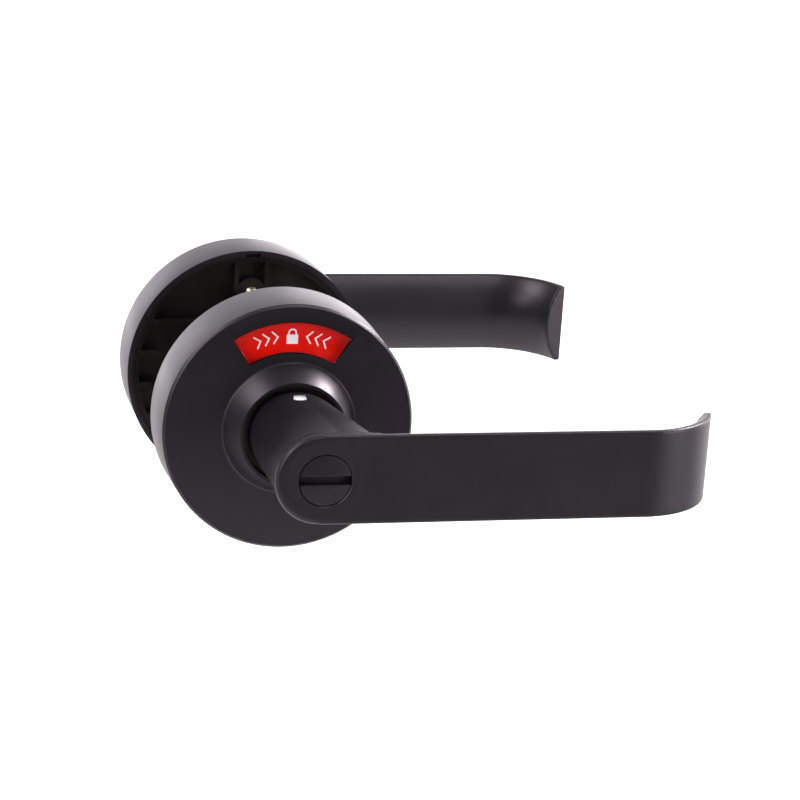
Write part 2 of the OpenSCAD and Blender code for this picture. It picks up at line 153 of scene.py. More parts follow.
def start_piece(name: str) -> Piece:
    """Names the primitive that was just added and puts its place into its mesh.

    Args:
        name: name of the piece.

    Returns:
        The new object, at the origin.
    """
    piece = bpy.context.object
    piece.name = name
    piece.data.name = name
    settle(piece)
    return piece


def open_edit(piece: Piece) -> None:
    """Goes into edit mode on one piece, with all of it selected."""
    select_only(piece)
    bpy.ops.object.mode_set(mode="EDIT")
    bpy.ops.mesh.select_all(action="SELECT")


def close_edit() -> None:
    """Goes back to object mode."""
    bpy.ops.object.mode_set(mode="OBJECT")


def pick_vertices(piece: Piece, wanted: Callable[[Vector], bool]) -> None:
    """Selects the vertices of a piece by their place, and leaves it in edit mode.

    Args:
        piece: the piece to edit.
        wanted: says for a place in metres whether it is selected.
    """
    open_edit(piece)
    bpy.ops.mesh.select_all(action="DESELECT")
    bpy.ops.mesh.select_mode(type="VERT")
    close_edit()
    for vertex in piece.data.vertices:
        vertex.select = wanted(vertex.co)
    bpy.ops.object.mode_set(mode="EDIT")


def tidy_shell(piece: Piece, gap_mm: float = MERGE_MM) -> None:
    """Merges doubles and turns all faces outwards.

    Args:
        piece: the piece to mend.
        gap_mm: largest distance between vertices that become one.
    """
    open_edit(piece)
    bpy.ops.mesh.remove_doubles(threshold=gap_mm * MM)
    bpy.ops.mesh.normals_make_consistent(inside=False)
    close_edit()


def turn_profile(name: str, profile: Profile, segments: int) -> Piece:
    """Turns a profile about the z axis by extruding a circle from point to point.

    Args:
        name: name of the piece.
        profile: radius and height of each point, in millimetres.
        segments: sides of the circle.

    Returns:
        The turned piece. A profile that ends where it began is a ring, and others are capped.
    """
    radius, height = profile[0]
    bpy.ops.mesh.primitive_circle_add(vertices=segments, radius=radius * MM, location=(0, 0, height * MM))
    piece = start_piece(name)
    open_edit(piece)
    for (r0, z0), (r1, z1) in zip(profile, profile[1:]):
        bpy.ops.mesh.extrude_region_move(TRANSFORM_OT_translate={"value": (0, 0, (z1 - z0) * MM)})
        bpy.ops.transform.resize(value=(r1 / r0, r1 / r0, 1), center_override=(0, 0, z1 * MM))
    bpy.ops.mesh.select_all(action="SELECT")
    bpy.ops.mesh.remove_doubles(threshold=MERGE_MM * MM)
    bpy.ops.mesh.fill_holes(sides=0)
    bpy.ops.mesh.normals_make_consistent(inside=False)
    close_edit()
    return piece


def spin_sector(name: str, radii: tuple[float, float], heights: tuple[float, float], middle: float,
                half: float, steps: int) -> Piece:
    """Spins a small rectangle into part of a flat ring.

    Args:
        name: name of the piece.
        radii: inner and outer radius, in millimetres.
        heights: lower and upper height, in millimetres.
        middle: direction of the middle of the sector, in degrees from x to y.
        half: half of the angle that it spans, in degrees.
        steps: steps of the spin.

    Returns:
        The closed sector.
    """
    bpy.ops.mesh.primitive_plane_add(size=1, rotation=(math.pi / 2, 0, 0))
    piece = start_piece(name)
    (r0, r1), (z0, z1) = radii, heights
    open_edit(piece)
    bpy.ops.transform.resize(value=((r1 - r0) * MM, 1, (z1 - z0) * MM), center_override=(0, 0, 0))
    bpy.ops.transform.translate(value=((r0 + r1) / 2 * MM, 0, (z0 + z1) / 2 * MM))
    bpy.ops.mesh.spin(steps=steps, angle=math.radians(2 * half), center=(0, 0, 0), axis=(0, 0, 1))
    close_edit()
    first = min(math.atan2(v.co.y, v.co.x) for v in piece.data.vertices)
    piece.rotation_euler.z = math.radians(middle - half) - first
    settle(piece)
    tidy_shell(piece)
    return piece


def add_rod(name: str, radius: float, start: Triple, end: Triple, sides: int = 180) -> Piece:
    """Adds a straight rod between two points, in millimetres.

    Args:
        name: name of the piece.
        radius: radius of the rod.
        start: middle of one end.
        end: middle of the other end.
        sides: sides of the rod.

    Returns:
        The rod.
    """
    middle = (Vector(start) + Vector(end)) / 2
    along = Vector(end) - Vector(start)
    bpy.ops.mesh.primitive_cylinder_add(
        vertices=sides, radius=radius * MM, depth=along.length * MM, location=middle * MM,
        rotation=along.to_track_quat("Z", "Y").to_euler())
    return start_piece(name)


def add_block(name: str, low: Triple, high: Triple) -> Piece:
    """Adds a block between two corners, in millimetres.

    Args:
        name: name of the piece.
        low: lowest corner.
        high: highest corner.

    Returns:
        The block.
    """
    middle = (Vector(low) + Vector(high)) / 2
    bpy.ops.mesh.primitive_cube_add(
        size=1, location=middle * MM, scale=(Vector(high) - Vector(low)) * MM)
    return start_piece(name)


def turn_flat(piece: Piece, x: float, y: float, angle: float) -> None:
    """Turns a piece about z and then moves it, within its mesh.

    Args:
        piece: the piece to move.
        x: way along x, in millimetres.
        y: way along y, in millimetres.
        angle: turn from x to y, in degrees.
    """
    piece.rotation_euler.z = math.radians(angle)
    piece.location = (x * MM, y * MM, 0.0)
    settle(piece)


def slice_off(piece: Piece, place: Triple, away: Triple) -> None:
    """Cuts a piece along a plane, drops the far part and closes the cut.

    Args:
        piece: the piece to cut.
        place: a point of the plane, in millimetres.
        away: direction of the part that goes.
    """
    open_edit(piece)
    bpy.ops.mesh.bisect(plane_co=Vector(place) * MM, plane_no=away, use_fill=True, clear_outer=True)
    close_edit()


def apply_modifier(piece: Piece, kind: str, **settings: object) -> None:
    """Adds a modifier with its settings and applies it.

    Args:
        piece: the piece to change.
        kind: type of the modifier.
        settings: values of the modifier's own properties.
    """
    select_only(piece)
    modifier = piece.modifiers.new(kind.title(), kind)
    for key, value in settings.items():
        setattr(modifier, key, value)
    bpy.ops.object.modifier_apply(modifier=modifier.name)


def combine(piece: Piece, other: Piece, how: Joining) -> None:
    """Takes one shape out of another or adds it, and deletes the one that was used.

    Args:
        piece: the piece that stays.
        other: the shape that is used up.
        how: whether it is taken out or added.
    """
    apply_modifier(piece, "BOOLEAN", operation=how.value, object=other, solver="EXACT")
    select_only(other)
    bpy.ops.object.delete()


def soften_edges(piece: Piece, width: float, segments: int = 3, angle: float = 30.0) -> None:
    """Rounds the sharp edges of a piece and shades the rest smooth.

    Args:
        piece: the piece to finish.
        width: width of the round, in millimetres.
        segments: faces across the round.
        angle: least angle of an edge that counts as sharp, in degrees.
    """
    apply_modifier(piece, "BEVEL", width=width * MM, segments=segments, limit_method="ANGLE",
                   angle_limit=math.radians(angle), harden_normals=False)
    shade_by_angle(piece, angle)


def shade_by_angle(piece: Piece, angle: float) -> None:
    """Shades a piece smooth except across edges sharper than an angle, in degrees."""
    select_only(piece)
    bpy.ops.object.shade_smooth_by_angle(angle=math.radians(angle))


def join_pieces(name: str, parts: Sequence[Piece]) -> Piece:
    """Joins several parts into one piece.

    Args:
        name: name of the joined piece.
        parts: the parts, the first of which stays.

    Returns:
        The joined piece.
    """
    select_only(parts[0])
    for part in parts:
        part.select_set(True)
    bpy.ops.object.join()
    joined = parts[0]
    joined.name = name
    joined.data.name = name
    return joined


def copy_piece(piece: Piece, name: str) -> Piece:
    """Copies a piece with a mesh of its own.

    Args:
        piece: the piece to copy.
        name: name of the copy.

    Returns:
        The copy.
    """
    select_only(piece)
    bpy.ops.object.duplicate(linked=False)
    copy = bpy.context.object
    copy.name = name
    copy.data.name = name
    return copy


# Finishes


def start_material(name: str) -> tuple[bpy.types.Material, bpy.types.Nodes, bpy.types.NodeLinks]:
    """Adds a material with nodes.

    Args:
        name: name of the material.

    Returns:
        The material, its nodes and its links.
    """
    material = bpy.data.materials.new(name)
    material.use_nodes = True
    return material, material.node_tree.nodes, material.node_tree.links


def set_inputs(node: bpy.types.Node, values: dict[str, object]) -> None:
    """Writes the values of a node's named inputs.

    Args:
        node: the node.
        values: a value for each input's name.
    """
    for name, value in values.items():
        node.inputs[name].default_value = value


def wire(links: bpy.types.NodeLinks,
         *runs: tuple[bpy.types.Node, str, bpy.types.Node, str | int]) -> None:
    """Links outputs to inputs, each run being a node, its output, another node and its input."""
    for source, output, target, entry in runs:
        links.new(source.outputs[output], target.inputs[entry])


@dataclass(frozen=True)
class Finish:
    """A finish: two tones and two roughnesses that a patchy grain mixes, and how it takes light.

    Attributes:
        name: name of the material.
        slot: slot of the record that it belongs to; not used.
        dark: darker tone, linear.
        light: lighter tone, linear.
        rough: least and greatest roughness.
        metallic: 1 for bare metal.
        grain: grains per metre of the fine texture.
        patch: patches per metre of the slow variation.
        stretch: how far the fine texture is drawn out along the door's depth.
        bump: depth of the fine texture, in millimetres.
        specular: specular level of the dielectric.
        tint: tint of that reflection, linear.
    """

    name: str
    slot: str
    dark: Triple
    light: Triple
    rough: tuple[float, float]
    metallic: float = 0.0
    grain: float = 2200.0
    patch: float = 60.0
    stretch: float = 1.0
    bump: float = 0.004
    specular: float = 0.5
    tint: Triple = (1.0, 1.0, 1.0)

    def make(self, group: bpy.types.NodeTree) -> bpy.types.Material:
        """Builds the material.

        Args:
            group: the shared grain group.

        Returns:
            The material.
        """
        material, nodes, links = start_material(self.name)
        shader = nodes["Principled BSDF"]
        place = nodes.new("ShaderNodeTexCoord")
        mapping = nodes.new("ShaderNodeMapping")
        set_inputs(mapping, {"Scale": (1.0, 1.0 / self.stretch, 1.0)})
        grain = nodes.new("ShaderNodeGroup")
        grain.node_tree = group
        bump = nodes.new("ShaderNodeBump")
        set_inputs(grain, {"Grain": self.grain, "Patch": self.patch, "Dark": (*self.dark, 1.0),
                           "Light": (*self.light, 1.0), "Rough Low": self.rough[0],
                           "Rough High": self.rough[1]})
        wire(links, (place, "Object", mapping, "Vector"), (mapping, "Vector", grain, "Place"),
             (grain, "Tone", shader, "Base Color"), (grain, "Roughness", shader, "Roughness"),
             (grain, "Height", bump, "Height"), (bump, "Normal", shader, "Normal"))
        set_inputs(bump, {"Strength": 1.0, "Distance": self.bump * MM})
        set_inputs(shader, {"Metallic": self.metallic, "Specular IOR Level": self.specular,
                            "Specular Tint": (*self.tint, 1.0)})
        return material


@dataclass(frozen=True)
class ClearFinish:
    """Clear acrylic for the window. It lets the lamps through to the flags, and mirror images of it, as in
    the neck, show a painted dark reflection.

    Attributes:
        name: name of the material.
        slot: slot of the record that it belongs to; not used.
        tint: colour of the acrylic, linear.
        ior: index of refraction.
        specular: specular level, low for an anti-glare face.
        rough: least and greatest roughness.
        patch: patches per metre of the faint wipe marks.
        painted_reflection: painted reflection, a dark tone that mirror images of it show instead of the
            flags, linear.
    """

    name: str = "clear_acrylic"
    slot: str = "clear_window"
    tint: Triple = (0.98, 0.99, 1.0)
    ior: float = 1.49
    specular: float = 0.03
    rough: tuple[float, float] = (0.02, 0.06)
    patch: float = 140.0
    painted_reflection: Triple = (0.02, 0.01, 0.01)

    def make(self, group: bpy.types.NodeTree) -> bpy.types.Material:
        """Builds the material.

        Args:
            group: the shared grain group, which gives the faint wipe marks.

        Returns:
            The material.
        """
        material, nodes, links = start_material(self.name)
        shader = nodes["Principled BSDF"]
        place = nodes.new("ShaderNodeTexCoord")
        grain = nodes.new("ShaderNodeGroup")
        grain.node_tree = group
        set_inputs(grain, {"Patch": self.patch, "Rough Low": self.rough[0], "Rough High": self.rough[1]})
        wire(links, (place, "Object", grain, "Place"), (grain, "Roughness", shader, "Roughness"))
        set_inputs(shader, {"Base Color": (*self.tint, 1.0), "Transmission Weight": 1.0, "IOR": self.ior,
                            "Specular IOR Level": self.specular})
        path = nodes.new("ShaderNodeLightPath")
        surface = shader.outputs["BSDF"]
        # Painted dark reflection: rays mirrored onto the lens see this dark diffuse tone instead of the
        # flags behind it.
        painted_reflection = nodes.new("ShaderNodeBsdfDiffuse")
        set_inputs(painted_reflection, {"Color": (*self.painted_reflection, 1.0)})
        mirrored = nodes.new("ShaderNodeMath")
        mirrored.operation = "SUBTRACT"
        mirrored.use_clamp = True
        wire(links, (path, "Is Glossy Ray", mirrored, 0), (path, "Is Transmission Ray", mirrored, 1))
        for ray, seen in ((path.outputs["Is Shadow Ray"], nodes.new("ShaderNodeBsdfTransparent")),
                          (mirrored.outputs["Value"], painted_reflection)):
            mix = nodes.new("ShaderNodeMixShader")
            links.new(ray, mix.inputs[0])
            links.new(surface, mix.inputs[1])
            links.new(seen.outputs["BSDF"], mix.inputs[2])
            surface = mix.outputs["Shader"]
        links.new(surface, nodes["Material Output"].inputs["Surface"])
        return material


BLACK_COAT = Finish("satin_black_coat", "black_metal", (0.0055, 0.0051, 0.0058), (0.0085, 0.0079, 0.0088),
                    (0.34, 0.42), grain=2600.0, patch=45.0, bump=0.0025, specular=0.40,
                    tint=(0.98, 0.89, 1.0))
BLACK_MOULDED = Finish("moulded_black", "black_plastic", (0.0025, 0.0022, 0.0022), (0.005, 0.0044, 0.0043),
                       (0.32, 0.45), grain=1500.0, patch=90.0, bump=0.004, specular=0.3,
                       tint=(1.0, 0.89, 0.87))
RED_PRINT = Finish("red_print", "red_label", (0.64, 0.006, 0.002), (0.72, 0.008, 0.003), (0.42, 0.52),
                   grain=4200.0, patch=180.0, bump=0.001, specular=0.0)
GREEN_PRINT = Finish("green_print", "green_label", (0.012, 0.20, 0.045), (0.02, 0.26, 0.06), (0.42, 0.52),
                     grain=4200.0, patch=180.0, bump=0.001, specular=0.12)
WHITE_PRINT = Finish("white_print", "red_label", (0.72, 0.71, 0.70), (0.84, 0.83, 0.82), (0.35, 0.45),
                     grain=4200.0, patch=180.0, bump=0.001, specular=0.4)
BRIGHT_STEEL = Finish("bright_plated_steel", "bright_steel", (0.48, 0.48, 0.50), (0.64, 0.64, 0.66),
                      (0.18, 0.32), metallic=1.0, grain=1800.0, patch=120.0, stretch=6.0, bump=0.002)
YELLOW_ZINC = Finish("yellow_zinc_plate", "yellow_zinc", (0.34, 0.27, 0.17), (0.50, 0.42, 0.30),
                     (0.22, 0.36), metallic=1.0, grain=1600.0, patch=260.0, bump=0.003)
CLEAR_ACRYLIC = ClearFinish()


class FinishShop:
    """Builds the shared grain group once and each finish when it is first asked for."""

    SOCKETS: dict[str, float] = {"Grain": 2000.0, "Patch": 60.0, "Rough Low": 0.3, "Rough High": 0.5}
    FINE_DETAIL = 3.0
    SLOW_DETAIL = 4.0
    SLOW_ROUGHNESS = 0.6
    PATCH_LOW = 0.3
    PATCH_HIGH = 0.7

    def __init__(self) -> None:
        """Builds the grain group."""
        self.group = self._grain_group()
        self.made: dict[str, bpy.types.Material] = {}

    def _grain_group(self) -> bpy.types.NodeTree:
        """Builds the group that mixes tone and roughness by slow patches and gives a fine height.

        Returns:
            The node group.
        """
        group = bpy.data.node_groups.new("surface_grain", "ShaderNodeTree")
        sockets = group.interface
        sockets.new_socket("Place", in_out="INPUT", socket_type="NodeSocketVector")
        for name, value in self.SOCKETS.items():
            sockets.new_socket(name, in_out="INPUT", socket_type="NodeSocketFloat").default_value = value
        for name in ("Dark", "Light"):
            sockets.new_socket(name, in_out="INPUT", socket_type="NodeSocketColor")
        sockets.new_socket("Tone", in_out="OUTPUT", socket_type="NodeSocketColor")
        sockets.new_socket("Roughness", in_out="OUTPUT", socket_type="NodeSocketFloat")
        sockets.new_socket("Height", in_out="OUTPUT", socket_type="NodeSocketFloat")
        nodes, links = group.nodes, group.links
        inlet = nodes.new("NodeGroupInput")
        outlet = nodes.new("NodeGroupOutput")
        fine = nodes.new("ShaderNodeTexNoise")
        set_inputs(fine, {"Detail": self.FINE_DETAIL})
        slow = nodes.new("ShaderNodeTexNoise")
        set_inputs(slow, {"Detail": self.SLOW_DETAIL, "Roughness": self.SLOW_ROUGHNESS})
        tone = nodes.new("ShaderNodeMix")
        tone.data_type = "RGBA"
        rough = nodes.new("ShaderNodeMapRange")
        colours = [socket for socket in tone.inputs if socket.type == "RGBA"]
        links.new(inlet.outputs["Dark"], colours[0])
        links.new(inlet.outputs["Light"], colours[1])
        set_inputs(rough, {"From Min": self.PATCH_LOW, "From Max": self.PATCH_HIGH})
        mixed = next(socket for socket in tone.outputs if socket.type == "RGBA")
        links.new(mixed, outlet.inputs["Tone"])
        wire(links, (inlet, "Place", fine, "Vector"), (inlet, "Grain", fine, "Scale"),
             (inlet, "Place", slow, "Vector"), (inlet, "Patch", slow, "Scale"),
             (slow, "Fac", tone, "Factor"), (slow, "Fac", rough, "Value"),
             (inlet, "Rough Low", rough, "To Min"), (inlet, "Rough High", rough, "To Max"),
             (rough, "Result", outlet, "Roughness"), (fine, "Fac", outlet, "Height"))
        return group

    def dress(self, piece: Piece, finish: Finish | ClearFinish) -> None:
        """Gives a piece one finish all over.

        Args:
            piece: the piece to dress.
            finish: its finish.
        """
        if finish.name not in self.made:
            self.made[finish.name] = finish.make(self.group)
        piece.data.materials.clear()
        piece.data.materials.append(self.made[finish.name])


# The set


@dataclass
class Workshop:
    """What the sub-assemblies share: the frame, the finishes and the door's thickness."""

    frame: dict
    shop: FinishShop
    door: float = field(init=False)

    def __post_init__(self) -> None:
        """Measures the door between the two roses, in millimetres."""
        self.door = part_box("inside_rose")[0].y / MM

    def place(self, piece: Piece, side: Side) -> None:
        """Turns a piece from a trim's own frame onto its side of the door.

        Args:
            piece: piece with z pointing out from the door and x along the lever.
            side: the side of the door.
        """
        if side is Side.OUTSIDE:
            piece.rotation_euler = (math.pi / 2, 0, 0)
        else:
            piece.rotation_euler = (-math.pi / 2, 0, 0)
            piece.location = (0, self.door * MM, 0)
        settle(piece)

    def keep(self, piece: Piece, side: Side, body: Body, finish: Finish | ClearFinish, *nodes: str) -> None:
        """Places and dresses a new piece, fixes it to its body and puts it in the place of solids.

        Args:
            piece: the finished piece, in a trim's own frame.
            side: the side of the door.
            body: the body that it moves with.
            finish: its finish.
            nodes: names of the solids that it stands for.
        """
        self.place(piece, side)
        self.shop.dress(piece, finish)
        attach(piece, body.value)
        if nodes:
            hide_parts(*nodes)
        LOG.info("%s: %d faces on %s", piece.name, len(piece.data.polygons), body.value)


@dataclass
class Rose:
    """A turned cover with a cone round the lever's neck, and its bush.

    Sizes are in millimetres, heights are measured out from the door.
    """

    radius: float = 40.0
    depth: float = 19.5
    wall: float = 2.0
    draft: float = 0.4
    edge: float = 0.8
    bore: float = 15.7
    cone_rim: float = 16.8
    cone_base: float = 21.0
    cone_top: float = 27.2
    foot_r: float = 1.0
    notch_width: float = 5.0
    notch_depth: float = 1.5
    bush_bore: float = 13.88
    bush_gap: float = 0.05
    collar: float = 16.2
    collar_back: float = 14.9
    bush_top: float = 25.4
    over: float = 1.0
    cover_soft: float = 0.35
    cover_sharp: float = 20.0
    bush_soft: float = 0.15
    segments: int = 192
    foot_steps: int = 6

    def build(self, shop: Workshop, side: Side) -> None:
        """Models the cover and the bush of one side.

        Args:
            shop: shared workshop.
            side: the side of the door. Only the outside cover has a window.
        """
        cover = turn_profile(f"{side.value}_cover", self._cover_profile(), self.segments)
        notch = add_block("notch", (-self.notch_width / 2, -self.radius + self.wall / 2, -self.over),
                          (self.notch_width / 2, -self.radius + 1.5 * self.wall, self.notch_depth))
        combine(cover, notch, Joining.CUT)
        if side is Side.OUTSIDE:
            heights = (self.depth - 2 * self.wall, self.depth + self.wall)
            opening = spin_sector("opening", (Window.in_r, Window.out_r), heights, TOP, Window.half,
                                  Window.steps)
            combine(cover, opening, Joining.CUT)
        soften_edges(cover, self.cover_soft, angle=self.cover_sharp)
        shop.keep(cover, side, Body.TRIM, BLACK_COAT, f"{side.value}_rose")
        bush = turn_profile(f"{side.value}_neck_bush", self._bush_profile(), self.segments)
        soften_edges(bush, self.bush_soft, segments=2)
        shop.keep(bush, side, Body.TRIM, BLACK_MOULDED, f"{side.value}_bush")

    def _cover_profile(self) -> Profile:
        """Works out the profile of the cover, with a hollow round at the foot of its cone.

        Returns:
            The closed profile.
        """
        face_back = self.depth - self.wall
        inner = self.radius - self.wall
        slope = math.atan2(self.cone_top - self.depth, self.cone_base - self.cone_rim)
        middle = self.cone_base + self.foot_r * math.tan(slope / 2)
        foot = [(middle - self.foot_r * math.sin(a), self.depth + self.foot_r * (1 - math.cos(a)))
                for a in (slope * i / self.foot_steps for i in range(self.foot_steps + 1))]
        return [(self.bore, face_back), (inner, face_back), (inner, 0), (self.radius, 0),
                (self.radius - self.draft, self.depth - self.edge),
                (self.radius - self.draft - self.edge, self.depth), *foot,
                (self.cone_rim, self.cone_top), (self.bore, self.cone_top), (self.bore, face_back)]

    def _bush_profile(self) -> Profile:
        """Works out the profile of the bush.

        Returns:
            The closed profile.
        """
        face_back = self.depth - self.wall
        outer = self.bore - self.bush_gap
        return [(self.bush_bore, self.collar_back), (self.collar, self.collar_back),
                (self.collar, face_back), (outer, face_back), (outer, self.bush_top),
                (self.bush_bore, self.bush_top), (self.bush_bore, self.collar_back)]


@dataclass
class Window:
    """The clear window and the marks on the two flags behind it.

    Sizes are in millimetres and angles in degrees. The marks are plain padlocks and
    arrowheads, shut on red and open on green.
    """

    out_r: float = 34.0
    in_r: float = 24.0
    half: float = 33.5
    gap: float = 0.2
    end_gap: float = 0.4
    lip: float = 1.1
    lip_angle: float = 2.5
    overlap: float = 0.1
    soft: float = 0.05
    lip_back: float = 16.8
    face_back: float = 17.5
    face: float = 19.5
    flag_front: float = 16.4
    print_t: float = 0.05
    line: float = 0.45
    case_w: float = 3.6
    case_h: float = 2.8
    shackle_r: float = 1.15
    bow_half: float = 90.0
    arrow_w: float = 1.5
    arrow_h: float = 3.4
    arrow_angles: tuple[float, ...] = (10.5, 16.0, 21.5)
    red_middle: float = TOP
    green_middle: float = 180.0
    steps: int = 64
    bow_steps: int = 24

    def build(self, shop: Workshop) -> None:
        """Models the lens and the marks.

        Args:
            shop: shared workshop.
        """
        body = spin_sector("window_pane", (self.in_r + self.gap, self.out_r - self.gap),
                           (self.face_back - self.overlap, self.face - self.gap), TOP,
                           self.half - self.end_gap, self.steps)
        lip = spin_sector("lens_lip", (self.in_r - self.lip, self.out_r + self.lip),
                          (self.lip_back, self.face_back), TOP, self.half + self.lip_angle, self.steps)
        combine(body, lip, Joining.FUSE)
        soften_edges(body, self.soft, segments=2)
        shop.keep(body, Side.OUTSIDE, Body.TRIM, CLEAR_ACRYLIC, "window_lens")
        self._mark(shop, "shut_padlock", self.red_middle, shut=True)
        self._mark(shop, "open_padlock", self.green_middle, shut=False)

    def _mark(self, shop: Workshop, name: str, middle: float, shut: bool) -> None:
        """Models a padlock between two rows of arrowheads, as thin print on a flag.

        Args:
            shop: shared workshop.
            name: name of the mark.
            middle: direction of the flag's middle, in degrees from x to y.
            shut: whether the padlock is shut. Arrowheads point to a shut one and away from an open one.
        """
        parts = self._padlock(shut)
        for side in (-1, 1):
            for angle in self.arrow_angles:
                parts.append(self._arrowhead(side * angle, -side if shut else side))
        mark = join_pieces(name, parts)
        turn_flat(mark, 0.0, 0.0, middle - TOP)
        tidy_shell(mark, MERGE_MM / 2)
        shop.keep(mark, Side.OUTSIDE, Body.LOCK, WHITE_PRINT)

    def _padlock(self, shut: bool) -> list[Piece]:
        """Models the case and the shackle of a padlock.

        Args:
            shut: whether both legs of the shackle reach the case.

        Returns:
            The case, the bow and its legs.
        """
        low, high = self.flag_front, self.flag_front + self.print_t
        middle_r = (self.in_r + self.out_r) / 2
        base = middle_r - (self.case_h + self.shackle_r) / 2 - self.line
        bow_y = base + self.case_h + self.line + (0.0 if shut else self.line)
        case = add_block("case", (-self.case_w / 2, base, low), (self.case_w / 2, base + self.case_h, high))
        bow = spin_sector("bow", (self.shackle_r - self.line / 2, self.shackle_r + self.line / 2),
                          (low, high), TOP, self.bow_half, self.bow_steps)
        turn_flat(bow, 0.0, bow_y, 0.0)
        legs = [add_block("leg", (side * self.shackle_r - self.line / 2, base + self.case_h, low),
                          (side * self.shackle_r + self.line / 2, bow_y, high))
                for side in ((-1, 1) if shut else (-1,))]
        return [case, bow, *legs]

    def _arrowhead(self, angle: float, point: int) -> Piece:
        """Models one arrowhead of two strokes.

        Args:
            angle: its place round the ring, in degrees from the middle.
            point: 1 if it points the way that angles grow, else -1.

        Returns:
            The arrowhead.
        """
        middle_r = (self.in_r + self.out_r) / 2
        tip = (-point * self.arrow_w / 2, middle_r)
        arrow, other = (self._stroke(tip, (point * self.arrow_w / 2, middle_r + end * self.arrow_h / 2))
                        for end in (-1, 1))
        combine(arrow, other, Joining.FUSE)
        turn_flat(arrow, 0.0, 0.0, angle)
        return arrow

    def _stroke(self, start: tuple[float, float], end: tuple[float, float]) -> Piece:
        """Models a straight printed line.

        Args:
            start: where the line starts, in millimetres.
            end: where it ends.

        Returns:
            The line, longer than the way by half its width at each end.
        """
        along = Vector(end) - Vector(start)
        half = (along.length + self.line) / 2
        stroke = add_block("stroke", (-half, -self.line / 2, self.flag_front),
                           (half, self.line / 2, self.flag_front + self.print_t))
        turn_flat(stroke, (start[0] + end[0]) / 2, (start[1] + end[1]) / 2,
                  math.degrees(math.atan2(along.y, along.x)))
        return stroke


